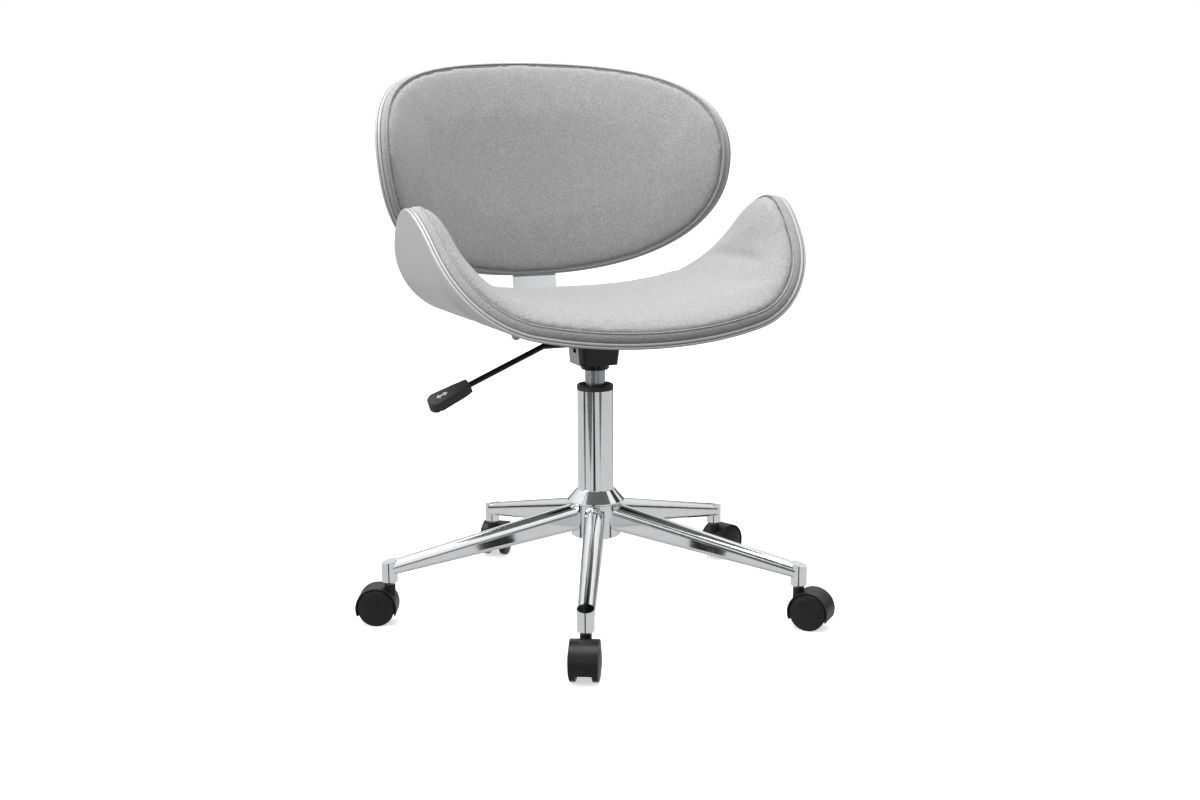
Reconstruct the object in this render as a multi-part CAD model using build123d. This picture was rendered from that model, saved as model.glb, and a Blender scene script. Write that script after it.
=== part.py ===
from build123d import *
import os
from math import atan2, copysign, cos, degrees, pi, radians, sin

os.makedirs("parts", exist_ok=True)

# Swivel desk chair, millimetres. Origin on the floor under the column, +Z up, the sitter faces -Y.
# The seat is at its lowest setting. Angles named *_BEARING turn from -Y (front) towards +X (right).

# --- star base ---
LEG_COUNT = 5
FIRST_LEG_BEARING = -25.1
STEM_CIRCLE = 292.9          # column axis to castor stem
SOCKET_RADIUS = 11.0
SOCKET_BOTTOM = 57.0
HUB_RADIUS = 34.0
HUB_BOTTOM = 103.0
HUB_SHOULDER = 154.0         # height of the widest ring of the hub
HUB_TOP = 170.0
LEG_WALL = 1.6
LEG_INNER = (29.0, 149.8, 112.0)   # width, top and bottom height at the hub
LEG_OUTER = (21.4, 87.5, 68.5)     # the same at the castor stem, narrower than the socket

# --- castors ---
WHEEL_RADIUS = 25.0
TRAIL = 18.0                 # stem axis to wheel axis
CASTOR_BEARINGS = (-27.5, 43.0, 112.0, 143.0, 246.9)
WEB_HALF = 9.3               # half width of the hood's middle web
HOOD_HALF = 18.5
HOOD_INNER = 26.2
HOOD_OUTER = 28.2
WHEEL_GAP = 9.8              # mid-plane to a wheel's inner face
WHEEL_FACE = 18.6            # mid-plane to the rim of a wheel's outer face
WHEEL_DOME = 21.6            # mid-plane to the middle of a wheel's outer face
AXLE_RADIUS = 3.0
SPIGOT_RADIUS = 4.0          # castor stem inside the hood
STEM_RADIUS = 5.5            # castor stem inside the leg
BOSS_TOP = 55.5
STEM_TOP = 80.0

# --- column and gas lift ---
RUNNING = 0.05               # radial clearance of every running fit
COLUMN_RADIUS = 25.0
COLUMN_BORE = 22.8
COLUMN_BOTTOM = 104.0
COLUMN_TOP = 311.0
COLLAR_TOP = 318.0
BUSH_BOTTOM = 262.0
CYLINDER_RADIUS = 14.0
CYLINDER_BORE = 12.0
CYLINDER_BOTTOM = 122.2
CYLINDER_TOP = 366.0
ROD_RADIUS = 5.0
ROD_SHOULDER = 114.05
PISTON_BOTTOM = 330.0
PISTON_TOP = 340.0
VALVE_RADIUS = 3.0
VALVE_TOP = 371.0

# --- tilt-free mechanism ---
CONE_BOTTOM = 339.0
PAN_BOTTOM = 346.0
PAN_MID_Y = 3.0
PAN_WALL = 2.5
LEVER_PIVOT = (-33.5, 375.4)       # x and z
LEVER_RADIUS = 4.0
LEVER_BEND_X = -76.0
LEVER_SLOPE = 23.1
LEVER_PADDLE_X = -183.0
LEVER_TIP_X = -240.0
PADDLE_ROLL = 25.0           # about its own length, the top turned to the front

# --- seat shell: bent about Y, half profile of a flat arc, a tight arc and a straight wing ---
SEAT_BOTTOM = 395.2
SEAT_TILT = -0.7             # a turn about X, the front is higher
SEAT_MID_Y = -120.4
SEAT_FLAT_RADIUS = 812.0
SEAT_FLAT_END = 155.6        # arc lengths along the half profile
SEAT_BEND_RADIUS = 138.6
SEAT_BEND_END = 321.0
SEAT_HALF_ARC = 371.0
SEAT_FRONT = (96.8, 2.34)    # half depth and roundness of the outline
SEAT_REAR = (310.9, 1.56)
WING_SWEEP = (95.5, 2.28)    # how far the wing tips lie behind the middle, and the curve's power

# --- back shell: bent about a near vertical axis, ends forward ---
BACK_Y = 267.2
BACK_Z = 575.0
BACK_RECLINE = 14.2
BACK_RADIUS = 312.1
BACK_HALF_ARC = 323.7
BACK_UPPER = (185.0, 1.98)
BACK_LOWER = (133.7, 2.45)
BACK_SPREAD = 0.00073        # widening per millimetre of height

# --- shells and pads ---
PLY = 8.0
PAD_GAP = 0.4
SEAT_PAD = (20.0, 44.0)      # outer face of the shell to the pad's seam and to its crown
BACK_PAD = (16.5, 34.0)
STATIONS = 45

# --- back bar and seat plate ---
BAR_WIDTH = 67.0
BAR_THICK = 6.0
BAR_FRONT_Y = -58.0
BAR_BEND = 42.0
BAR_TOP_W = 12.0             # upper end of the bar, from the middle of the back
PLATE_THICK = 3.0
PLATE_SIZE = (172.0, 150.0)
BOLT_RADIUS = 3.0
NUT_RADIUS = 4.6
PLATE_BOLTS = [(x, y) for x in (-70, 70) for y in (-58, 58)]
BAR_BOLTS = [(x, y) for x in (-20, 20) for y in (46, 92)]
BACK_BOLTS = [(x, w) for x in (-18, 18) for w in (-98, -22)]
PAD_SCREWS = [(side * arc, y) for side in (-1, 1) for arc, y in ((162, -128), (105, 60))]

SEAT_FRAME = Pos(0, 0, SEAT_BOTTOM) * Rot(SEAT_TILT, 0, 0)
BACK_FRAME = Pos(0, BACK_Y, BACK_Z) * Rot(-BACK_RECLINE, 0, 0)


# --- shapes used by several pieces ---

def save(name, *solids):
    shape = solids[0] if len(solids) == 1 else Compound(children=list(solids))
    export_step(shape, f"parts/{name}.step")


def rod(radius, low, high):
    return Pos(0, 0, (low + high) / 2) * Cylinder(radius, high - low)


def ring(outer, inner, low, high):
    return rod(outer, low, high) - rod(inner, low - 1, high + 1)


def turned(*corners):
    """A solid of revolution about Z from the (radius, height) corners of its section."""
    outline = Polyline(*[(radius, 0, height) for radius, height in corners], close=True)
    return revolve(make_face(outline), Axis.Z)


def slab(low, high):
    """A box from its lowest to its highest corner."""
    size = [b - a for a, b in zip(low, high)]
    middle = [(a + b) / 2 for a, b in zip(low, high)]
    return Pos(*middle) * Box(*size)


def across(section):
    """Turn a shape made along Z so that it lies along X."""
    return Rot(0, 90, 0) * section


def bearing(angle, radius=0.0):
    """The place at an angle round the column, with its own -Y pointing outwards."""
    return Rot(0, 0, angle) * Pos(0, -radius, 0)


def leg_bearing(index):
    return FIRST_LEG_BEARING + 360 / LEG_COUNT * index


def castor_place(index):
    turn = CASTOR_BEARINGS[index] - leg_bearing(index)
    return bearing(leg_bearing(index), STEM_CIRCLE) * Rot(0, 0, turn)


# --- star base ---

def base_hub():
    cut = (COLUMN_RADIUS - 0.8, HUB_BOTTOM)
    return turned(
        cut, (HUB_RADIUS - 1.5, HUB_BOTTOM), (HUB_RADIUS, HUB_BOTTOM + 1.5),
        (HUB_RADIUS, HUB_SHOULDER - 4), (HUB_RADIUS + 5.5, HUB_SHOULDER - 1),
        (HUB_RADIUS + 5.5, HUB_SHOULDER + 0.5), (COLUMN_RADIUS + 1.5, HUB_TOP),
        (COLUMN_RADIUS, HUB_TOP))


def leg_section(distance, width, top, bottom, inset=0.0):
    """An arch-topped section of a leg, at a distance from the column."""
    width, top, bottom = width - 2 * inset, top - inset, bottom + inset
    frame = Plane(origin=(0, -distance, (top + bottom) / 2), x_dir=(1, 0, 0), z_dir=(0, -1, 0))
    face = frame * Rectangle(width, top - bottom)
    face = fillet(face.vertices().group_by(Axis.Z)[-1], width / 2 - 0.3)
    return fillet(face.vertices().group_by(Axis.Z)[0], width / 4)


def leg_dims(distance):
    """Width, top and bottom height of a leg at a distance from the column."""
    share = (distance - HUB_RADIUS) / (STEM_CIRCLE - HUB_RADIUS)
    return [a + (b - a) * share for a, b in zip(LEG_INNER, LEG_OUTER)]


def leg():
    inner, outer = HUB_RADIUS - 8, STEM_CIRCLE
    tube = loft([leg_section(r, *leg_dims(r)) for r in (inner, outer)], ruled=True)
    reach = STEM_CIRCLE - SOCKET_RADIUS - 3
    hollow = loft([leg_section(r, *leg_dims(r), inset=LEG_WALL) for r in (inner - 1, reach)], ruled=True)
    socket = Pos(0, -STEM_CIRCLE, 0) * rod(SOCKET_RADIUS, SOCKET_BOTTOM, LEG_OUTER[1] + 10)
    socket = chamfer(socket.edges().group_by(Axis.Z)[0], 2.2)
    fall = degrees(atan2(LEG_INNER[1] - LEG_OUTER[1], STEM_CIRCLE - HUB_RADIUS))
    mitre = Pos(0, -STEM_CIRCLE, LEG_OUTER[1]) * Rot(fall, 0, 0) * Pos(0, 0, 50) * Box(100, 100, 100)
    bore = Pos(0, -STEM_CIRCLE, 0) * rod(STEM_RADIUS + 2.5, SOCKET_BOTTOM - 1, STEM_TOP + 1.5)
    return (tube - hollow + (socket - mitre)) - bore - rod(HUB_RADIUS, 50, 200)


def stem_sleeve():
    """The plastic grip sleeve pressed into a leg's socket."""
    return ring(STEM_RADIUS + 2.5, STEM_RADIUS, SOCKET_BOTTOM, STEM_TOP + 1)


def castor_stem():
    return turned((0, 34), (SPIGOT_RADIUS - 0.5, 34), (SPIGOT_RADIUS, 34.5), (SPIGOT_RADIUS, BOSS_TOP + 0.1),
                  (STEM_RADIUS + 1.2, BOSS_TOP + 0.1), (STEM_RADIUS + 1.2, SOCKET_BOTTOM),
                  (STEM_RADIUS, SOCKET_BOTTOM), (STEM_RADIUS, STEM_TOP - 1), (STEM_RADIUS - 1, STEM_TOP), (0, STEM_TOP))


# --- castors, made with the stem on the Z axis and the wheels trailing to -Y ---

def wheel_centre():
    return Pos(0, -TRAIL, WHEEL_RADIUS)


def castor_hood():
    band = ring(HOOD_OUTER, HOOD_INNER, -HOOD_HALF, HOOD_HALF)
    web = rod(HOOD_INNER + 0.5, -WEB_HALF, WEB_HALF)
    cap = wheel_centre() * across(band + web)
    cap -= slab((-30, -60, -20), (30, 40, 14.5))
    boss = rod(7.5, 24, BOSS_TOP)
    boss += slab((-6, -3, 24), (6, 6.2, 44))
    bore = rod(SPIGOT_RADIUS + RUNNING, 33, BOSS_TOP + 5)
    axle_hole = wheel_centre() * across(rod(AXLE_RADIUS, -12, 12))
    return cap + boss - bore - axle_hole


def castor_axle():
    return wheel_centre() * across(rod(AXLE_RADIUS, -WHEEL_FACE + 2, WHEEL_FACE - 2))


def castor_wheel(side):
    """A hollow wheel with a domed outer face, running on the axle's end."""
    bore = AXLE_RADIUS + RUNNING
    wheel = turned(
        (bore, WHEEL_GAP), (6.5, WHEEL_GAP), (6.5, 16), (21.5, 16), (21.5, WHEEL_GAP + 0.4),
        (WHEEL_RADIUS - 1, WHEEL_GAP + 0.4), (WHEEL_RADIUS, WHEEL_GAP + 1.4), (WHEEL_RADIUS, WHEEL_FACE - 1),
        (WHEEL_RADIUS - 1, WHEEL_FACE), (18, WHEEL_FACE + 1.4), (9, WHEEL_DOME - 0.6), (0, WHEEL_DOME),
        (0, WHEEL_FACE - 1.5), (bore, WHEEL_FACE - 1.5))
    turn = 90 if side > 0 else -90
    return wheel_centre() * Rot(0, turn, 0) * wheel


# --- column ---

def column_tube():
    taper = COLUMN_RADIUS - 0.8
    hole = SPIGOT_RADIUS + RUNNING
    return turned((hole, COLUMN_BOTTOM), (taper, COLUMN_BOTTOM), (COLUMN_RADIUS, HUB_TOP),
                  (COLUMN_RADIUS, COLUMN_TOP - 0.6), (COLUMN_RADIUS - 0.6, COLUMN_TOP), (COLUMN_BORE, COLUMN_TOP),
                  (COLUMN_BORE, COLUMN_BOTTOM + 3), (hole, COLUMN_BOTTOM + 3))


def column_collar():
    """The dished black cap on the column's mouth."""
    edge = COLUMN_RADIUS + 0.5
    mouth = CYLINDER_RADIUS + 0.4
    return turned((mouth, COLUMN_TOP), (edge, COLUMN_TOP), (edge, COLLAR_TOP - 1.2), (edge - 1.2, COLLAR_TOP),
                  (edge - 3.2, COLLAR_TOP), (edge - 4.2, COLLAR_TOP - 3.5), (mouth, COLLAR_TOP - 4.5))


def guide_bush():
    return ring(COLUMN_BORE, CYLINDER_RADIUS + RUNNING, BUSH_BOTTOM, COLUMN_TOP)


def bearing_washers():
    hole = SPIGOT_RADIUS + RUNNING
    low = COLUMN_BOTTOM + 3
    return ring(12, hole, low, low + 1.5), ring(12, hole, low + 5.5, low + 7)


def thrust_bearing():
    low = COLUMN_BOTTOM + 4.5
    cage = ring(11.5, 5.5, low + 0.8, low + 3.2)
    for index in range(8):
        cage += Rot(0, 0, 45 * index) * Pos(8.5, 0, low + 2) * Sphere(2)
    return cage


def stop_buffer():
    """The rubber ring that the cylinder lands on at the bottom of its stroke."""
    return ring(11, ROD_RADIUS + 0.5, ROD_SHOULDER, CYLINDER_BOTTOM - 0.2)


# --- gas lift ---

def piston_rod():
    groove = COLUMN_BOTTOM - 2
    return turned((0, groove - 2.5), (SPIGOT_RADIUS, groove - 2.5), (SPIGOT_RADIUS, groove), (3.2, groove),
                  (3.2, groove + 1.2), (SPIGOT_RADIUS, groove + 1.2), (SPIGOT_RADIUS, ROD_SHOULDER),
                  (ROD_RADIUS, ROD_SHOULDER), (ROD_RADIUS, PISTON_BOTTOM), (SPIGOT_RADIUS, PISTON_BOTTOM),
                  (SPIGOT_RADIUS, PISTON_TOP), (0, PISTON_TOP))


def retaining_clip():
    groove = COLUMN_BOTTOM - 2
    return ring(8, 3.2, groove, groove + 1.2) - slab((-2.6, 0, groove - 1), (2.6, 10, groove + 3))


def piston_head():
    return ring(CYLINDER_BORE - RUNNING, SPIGOT_RADIUS, PISTON_BOTTOM, PISTON_TOP)


def gas_cylinder():
    neck = CYLINDER_BORE - 0.5
    return turned((CYLINDER_BORE, CYLINDER_BOTTOM), (CYLINDER_RADIUS - 0.5, CYLINDER_BOTTOM),
                  (CYLINDER_RADIUS, CYLINDER_BOTTOM + 0.5), (CYLINDER_RADIUS, CONE_BOTTOM),
                  (CYLINDER_RADIUS - 1, CYLINDER_TOP), (neck, CYLINDER_TOP), (neck, CYLINDER_TOP - 18),
                  (CYLINDER_BORE, CYLINDER_TOP - 18))


def rod_seal():
    return ring(CYLINDER_BORE, ROD_RADIUS + RUNNING, CYLINDER_BOTTOM, CYLINDER_BOTTOM + 24)


def valve_block():
    return ring(CYLINDER_BORE - 0.5, VALVE_RADIUS + RUNNING, CYLINDER_TOP - 16, CYLINDER_TOP - 1)


def valve_pin():
    return turned((0, CYLINDER_TOP - 17), (VALVE_RADIUS, CYLINDER_TOP - 17), (VALVE_RADIUS, VALVE_TOP - 1.5),
                  (1.2, VALVE_TOP), (0, VALVE_TOP))


# --- mechanism under the seat ---

def above_plate():
    """Everything above the seat plate's lower face, to trim pieces that are welded to it."""
    return SEAT_FRAME * slab((-400, -400, -BAR_THICK - PLATE_THICK), (400, 400, 200))


def taper_cone():
    """The sleeve that grips the tapered top of the gas cylinder."""
    return turned((CYLINDER_RADIUS, CONE_BOTTOM), (18.3, CONE_BOTTOM), (19.5, CONE_BOTTOM + 1.2),
                  (19.5, PAN_BOTTOM + 2), (17.5, CYLINDER_TOP), (CYLINDER_RADIUS - 1, CYLINDER_TOP))


def pan_block(inset, low, high):
    """The pan's tapered body between two heights, drawn in by its wall thickness."""
    faces = []
    for height in (low, high):
        grow = (height - PAN_BOTTOM) / 50
        frame = Plane(origin=(0, PAN_MID_Y, height))
        faces.append(frame * RectangleRounded(54 + 8 * grow - 2 * inset, 50 + 12 * grow - 2 * inset, 7 - inset))
    return loft(faces, ruled=True)


def mechanism_pan():
    """The pressed pan that joins the cone to the seat plate, slotted for the lever."""
    pan = pan_block(0, PAN_BOTTOM, PAN_BOTTOM + 60) - pan_block(PAN_WALL, PAN_BOTTOM + PAN_WALL, PAN_BOTTOM + 61)
    pan -= slab((-45, -6.5, LEVER_PIVOT[1] - 12), (-15, 6.5, 440))
    return pan - rod(19.5, 330, PAN_BOTTOM + 5) - above_plate()


def lever_guide():
    """The bright plate on the pan's left side, with two ears for the lever's pin."""
    pivot_x, pivot_z = LEVER_PIVOT
    plate = pan_block(-1.6, PAN_BOTTOM, PAN_BOTTOM + 60) - pan_block(0, PAN_BOTTOM - 1, PAN_BOTTOM + 61)
    plate = plate & slab((-60, -14, PAN_BOTTOM + 1), (-20, 22, 440))
    ears = slab((pivot_x - 5, -9, pivot_z - 5), (pivot_x + 3.5, 9, pivot_z + 4.5))
    ears -= pan_block(0, PAN_BOTTOM - 1, PAN_BOTTOM + 61)
    plate = plate + ears
    plate -= slab((-45, -5.2, pivot_z - 12), (-15, 5.2, 440))
    plate -= Pos(pivot_x, 0, pivot_z) * Rot(90, 0, 0) * Cylinder(2, 40)
    return plate - above_plate()


def lever_pin():
    pivot_x, pivot_z = LEVER_PIVOT
    return Pos(pivot_x, 0, pivot_z) * Rot(90, 0, 0) * Cylinder(2, 20)


def lever_point(x):
    """A place on the lever's sloping axis."""
    fall = sin(radians(LEVER_SLOPE)) / cos(radians(LEVER_SLOPE))
    return Vector(x, 0, LEVER_PIVOT[1] + (x - LEVER_BEND_X) * fall)


def stick(start, end, radius):
    run = end - start
    return Plane(origin=start, z_dir=run) * Cylinder(radius, run.length, align=(Align.CENTER, Align.CENTER, Align.MIN))


def lever_rod():
    pivot_x, pivot_z = LEVER_PIVOT
    bend = lever_point(LEVER_BEND_X)
    arm = stick(Vector(4, 0, pivot_z), bend, LEVER_RADIUS) + Pos(*bend) * Sphere(LEVER_RADIUS)
    arm += stick(bend, lever_point(LEVER_PADDLE_X - 28), LEVER_RADIUS)
    return arm - Pos(pivot_x, 0, pivot_z) * Rot(90, 0, 0) * Cylinder(2 + RUNNING, 40)


def paddle_frame():
    slope = radians(LEVER_SLOPE)
    outward = (-cos(slope), 0, -sin(slope))
    return Plane(origin=lever_point(LEVER_PADDLE_X), x_dir=outward, z_dir=(-sin(slope), 0, cos(slope)))


def lever_paddle():
    length = (LEVER_PADDLE_X - LEVER_TIP_X) / cos(radians(LEVER_SLOPE))
    end = length - 12.5
    edge = Polyline((0, 0), (0, 7), (6, 8.5), (end, 12.5))
    tip = ThreePointArc((end, 12.5), (length, 0), (end, -12.5))
    back = Polyline((end, -12.5), (6, -8.5), (0, -7), (0, 0))
    body = extrude(make_face(edge + tip + back), 15)
    body = Pos(0, 0, -8.5) * body
    body = fillet(body.edges().group_by(Axis.Z)[-1], 1.2)
    body -= Rot(0, 7, 0) * slab((-10, -30, -22), (32, 30, -7.2))
    body -= slab((length - 13, -30, -20), (length - 9, 30, -7.3))
    body -= Rot(0, -20, 0) * slab((length - 2, -30, -30), (length + 12, 30, -1))
    bore = Rot(0, 90, 0) * Pos(0, 0, 15.5) * Cylinder(LEVER_RADIUS, 35)
    return paddle_frame() * Rot(-PADDLE_ROLL, 0, 0) * (body - bore)


# --- shells and pads ---

def seat_profile(arc):
    """X, height and slope of the seat's outer face at an arc length from its middle."""
    flat = min(arc, SEAT_FLAT_END) / SEAT_FLAT_RADIUS
    bend = flat + max(0, min(arc, SEAT_BEND_END) - SEAT_FLAT_END) / SEAT_BEND_RADIUS
    straight = max(0, arc - SEAT_BEND_END)
    x = SEAT_FLAT_RADIUS * sin(flat) + SEAT_BEND_RADIUS * (sin(bend) - sin(flat)) + straight * cos(bend)
    z = SEAT_FLAT_RADIUS * (1 - cos(flat)) + SEAT_BEND_RADIUS * (cos(flat) - cos(bend)) + straight * sin(bend)
    return x, z, bend


def seat_point(arc, depth, rise):
    """A place on the seat: arc length across, depth along Y and rise off the outer face."""
    x, z, slope = seat_profile(abs(arc))
    x, z = copysign(x - rise * sin(slope), arc), z + rise * cos(slope)
    sweep_back = WING_SWEEP[0] * abs(arc / SEAT_HALF_ARC) ** WING_SWEEP[1]
    return SEAT_FRAME * Pos(x, depth + SEAT_MID_Y + sweep_back, z)


def rounded(share, half, power):
    """Half width of a superellipse of the given half size and roundness."""
    return half * max(0, 1 - abs(share) ** power) ** (1 / power)


def seat_span(arc, inset):
    share = arc / (SEAT_HALF_ARC - inset)
    front, rear = SEAT_FRONT, SEAT_REAR
    return -rounded(share, front[0] - inset, front[1]), rounded(share, rear[0] - inset, rear[1])


def back_point(arc, height, rise):
    """A place on the back: arc length across, height and rise off the rear face."""
    turn = arc / BACK_RADIUS
    radius = BACK_RADIUS - rise
    return BACK_FRAME * Pos(radius * sin(turn), radius * cos(turn) - BACK_RADIUS, height)


def back_reach(height, inset):
    """Half arc length of the back's outline at a height."""
    half, power = BACK_UPPER if height > 0 else BACK_LOWER
    widen = 1 + BACK_SPREAD * height
    return rounded(height / (half - inset), BACK_HALF_ARC - inset, power) * widen


def back_widest(inset):
    heights = [index * 0.5 for index in range(120)]
    return max(heights, key=lambda height: back_reach(height, inset))


def back_edge(arc, inset, start, end):
    """The height between start (inside) and end (outside) where the outline is met."""
    for _ in range(40):
        middle = (start + end) / 2
        if back_reach(middle, inset) > abs(arc):
            start = middle
        else:
            end = middle
    return start


def back_span(arc, inset):
    start = back_widest(inset)
    return [back_edge(arc, inset, start, end) for end in (-BACK_LOWER[0] + inset, BACK_UPPER[0] - inset)]


def shell_section(low, high):
    return [(low, 0), (low, PLY), (high, PLY), (high, 0)]


def pad_section(low, high, seam, crown):
    """A boxing band, a seam and a crowned top, drawn in near the tips."""
    share = min(1, (high - low) / 130)
    rise = (crown - seam) * share
    half = [(0, PLY + PAD_GAP), (0, seam - 2), (3 * share, seam), (13 * share, seam + 0.6 * rise),
            (32 * share, seam + 0.92 * rise), (60 * share, seam + rise)]
    return [(low + across, up) for across, up in half] + [(high - across, up) for across, up in reversed(half)]


def panel(half_arc, span, place, section):
    """A bent panel: flat sections across it, closer together towards its rounded tips."""
    wires = []
    for index in range(STATIONS):
        arc = half_arc * sin(radians(-89 + 178 * index / (STATIONS - 1)))
        corners = [place(arc, at, rise).position for at, rise in section(*span(arc))]
        wires.append(Wire.make_polygon(corners))
    return Solid.make_loft(wires, ruled=True)


def seat_panel(section, inset):
    return panel(SEAT_HALF_ARC - inset, lambda arc: seat_span(arc, inset), seat_point, section)


def back_panel(section, inset):
    reach = back_reach(back_widest(inset), inset)
    return panel(reach, lambda arc: back_span(arc, inset), back_point, section)


def seat_spots():
    return [SEAT_FRAME * Pos(x, y, 0) for x, y in PLATE_BOLTS + BAR_BOLTS]


def back_spots():
    """Bolt places on the back, with Z pointing forward through the shell."""
    return [BACK_FRAME * Pos(x, 0, w) * Rot(90, 0, 0) for x, w in BACK_BOLTS]


def screw_spot(arc, y):
    """A place on the seat's outer face with Z along its normal."""
    x, z, slope = seat_profile(abs(arc))
    return SEAT_FRAME * Pos(copysign(x, arc), y, z) * Rot(0, -copysign(degrees(slope), arc), 0)


def seat_shell():
    shell = seat_panel(shell_section, 0)
    for spot in seat_spots():
        shell -= spot * rod(NUT_RADIUS, -5, 25)
    for arc, y in PAD_SCREWS:
        shell -= screw_spot(arc, y) * rod(2, -5, 25)
    return shell


def seat_pad():
    return seat_panel(lambda low, high: pad_section(low, high, *SEAT_PAD), 1)


def back_shell():
    shell = back_panel(shell_section, 0)
    for spot in back_spots():
        shell -= spot * rod(NUT_RADIUS, -5, 15)
    return shell


def back_pad():
    return back_panel(lambda low, high: pad_section(low, high, *BACK_PAD), 1)


# --- plate, bar and fasteners ---

def seat_plate():
    plate = extrude(RectangleRounded(*PLATE_SIZE, 14), PLATE_THICK)
    plate = SEAT_FRAME * Pos(0, 0, -BAR_THICK - PLATE_THICK) * plate
    for spot in seat_spots():
        plate -= spot * rod(BOLT_RADIUS, -20, 0)
    return plate


def bar_corner():
    """Y and Z where the bar's two straight middle lines would meet."""
    tilt, lean = radians(SEAT_TILT), radians(BACK_RECLINE)
    half = BAR_THICK / 2
    y1, z1 = half * sin(tilt), SEAT_BOTTOM - half * cos(tilt)
    y2, z2 = BACK_Y + half * cos(lean), BACK_Z - half * sin(lean)
    along = ((y2 - y1) * cos(lean) - (z2 - z1) * sin(lean)) / cos(tilt + lean)
    return y1 + along * cos(tilt), z1 + along * sin(tilt)


def back_bar():
    """The chromed flat bar from under the seat up behind the back."""
    start = SEAT_FRAME * Pos(0, BAR_FRONT_Y, -BAR_THICK / 2)
    end = BACK_FRAME * Pos(0, BAR_THICK / 2, BAR_TOP_W)
    path = FilletPolyline(start.position, (0, *bar_corner()), end.position, radius=BAR_BEND)
    section = Plane(origin=path @ 0, x_dir=(1, 0, 0), z_dir=path % 0) * Rectangle(BAR_WIDTH, BAR_THICK)
    bar = sweep(section, path=path)
    bar = fillet(bar.edges().filter_by(lambda edge: abs(edge.length - BAR_THICK) < 0.01), 10)
    for spot in seat_spots():
        bar -= spot * rod(BOLT_RADIUS, -20, 5)
    for spot in back_spots():
        bar -= spot * rod(BOLT_RADIUS, -20, 5)
    return bar


def bolt(head_face, tip):
    """A button-head bolt along Z, its head below head_face and its shank up to tip."""
    head = turned((0, head_face - 3.4), (3.6, head_face - 3.4), (5.6, head_face - 1.6), (5.6, head_face), (0, head_face))
    socket = Pos(0, 0, head_face - 3.4) * extrude(RegularPolygon(2.3, 6), 1.8)
    return head - socket + rod(BOLT_RADIUS, head_face, tip)


def seat_bolts():
    """Four bolts at the plate's corners and four through the bar."""
    bolts = []
    for spot, (x, y) in zip(seat_spots(), PLATE_BOLTS + BAR_BOLTS):
        on_plate = abs(y) < PLATE_SIZE[1] / 2
        head_face = -BAR_THICK - (PLATE_THICK if on_plate else 0)
        bolts.append(spot * bolt(head_face, seat_profile(abs(x))[1] + 7.5))
    return bolts


def seat_spacers():
    """Rubber spacers between the plate's corners and the shell, cut to its curve."""
    shell = seat_panel(shell_section, 0)
    return [SEAT_FRAME * Pos(x, y, 0) * ring(9, BOLT_RADIUS, -BAR_THICK, 8) - shell for x, y in PLATE_BOLTS]


def pad_screws():
    """Domed screws under the shell that hold the pad's board."""
    screw = turned((0, -6), (3, -5.4), (5.6, -3), (6.5, 0), (2, 0), (2, PLY), (0, PLY))
    return [screw_spot(arc, y) * screw for arc, y in PAD_SCREWS]


def seat_tee_nuts():
    nuts = []
    for spot, (x, _) in zip(seat_spots(), PLATE_BOLTS + BAR_BOLTS):
        low = seat_profile(abs(x))[1]
        nuts.append(spot * ring(NUT_RADIUS, BOLT_RADIUS, low + 1, low + 7.5))
    return nuts


def back_fasteners(make):
    """One solid at each bolt place of the back, lifted by the shell's hollow there."""
    return [spot * Pos(0, 0, x * x / (2 * BACK_RADIUS)) * make for spot, (x, _) in zip(back_spots(), BACK_BOLTS)]


def back_bolts():
    return [spot * bolt(-BAR_THICK, 7) for spot in back_spots()]


def back_tee_nuts():
    return back_fasteners(ring(NUT_RADIUS, BOLT_RADIUS, 0.6, 6.5))


# --- write every piece ---

def write_base():
    save("base_hub", base_hub())
    legs = [bearing(leg_bearing(index)) for index in range(LEG_COUNT)]
    for index, place in enumerate(legs):
        save(f"leg_{index + 1}", place * leg())
    stems = [place * Pos(0, -STEM_CIRCLE, 0) for place in legs]
    save("stem_sleeves", *[place * stem_sleeve() for place in stems])
    save("castor_stems", *[place * castor_stem() for place in stems])


def write_castors():
    for index in range(LEG_COUNT):
        place = castor_place(index)
        number = index + 1
        save(f"castor_hood_{number}", place * castor_hood())
        save(f"castor_axle_{number}", place * castor_axle())
        save(f"wheel_{number}_a", place * castor_wheel(1))
        save(f"wheel_{number}_b", place * castor_wheel(-1))


def write_column():
    save("column_tube", column_tube())
    save("column_collar", column_collar())
    save("guide_bush", guide_bush())
    save("bearing_washers", *bearing_washers())
    save("thrust_bearing", thrust_bearing())
    save("stop_buffer", stop_buffer())


def write_gas_lift():
    save("piston_rod", piston_rod())
    save("retaining_clip", retaining_clip())
    save("piston_head", piston_head())
    save("gas_cylinder", gas_cylinder())
    save("rod_seal", rod_seal())
    save("valve_block", valve_block())
    save("valve_pin", valve_pin())


def write_mechanism():
    save("taper_cone", taper_cone())
    save("mechanism_pan", mechanism_pan())
    save("seat_plate", seat_plate())
    save("lever_guide", lever_guide())
    save("lever_pin", lever_pin())
    save("lever_rod", lever_rod())
    save("lever_paddle", lever_paddle())


def write_seat():
    save("seat_shell", seat_shell())
    save("seat_pad", seat_pad())
    save("seat_spacers", *seat_spacers())
    save("seat_bolts", *seat_bolts())
    save("seat_tee_nuts", *seat_tee_nuts())
    save("pad_screws", *pad_screws())


def write_back():
    save("back_bar", back_bar())
    save("back_shell", back_shell())
    save("back_pad", back_pad())
    save("back_bolts", *back_bolts())
    save("back_tee_nuts", *back_tee_nuts())


write_base()
write_castors()
write_column()
write_gas_lift()
write_mechanism()
write_seat()
write_back()
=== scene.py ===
"""Looks for a swivel desk chair: bent ply shells, felted wool pads, chromed star base, castors."""

from math import copysign, cos, pi, radians, sin, tau

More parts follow.
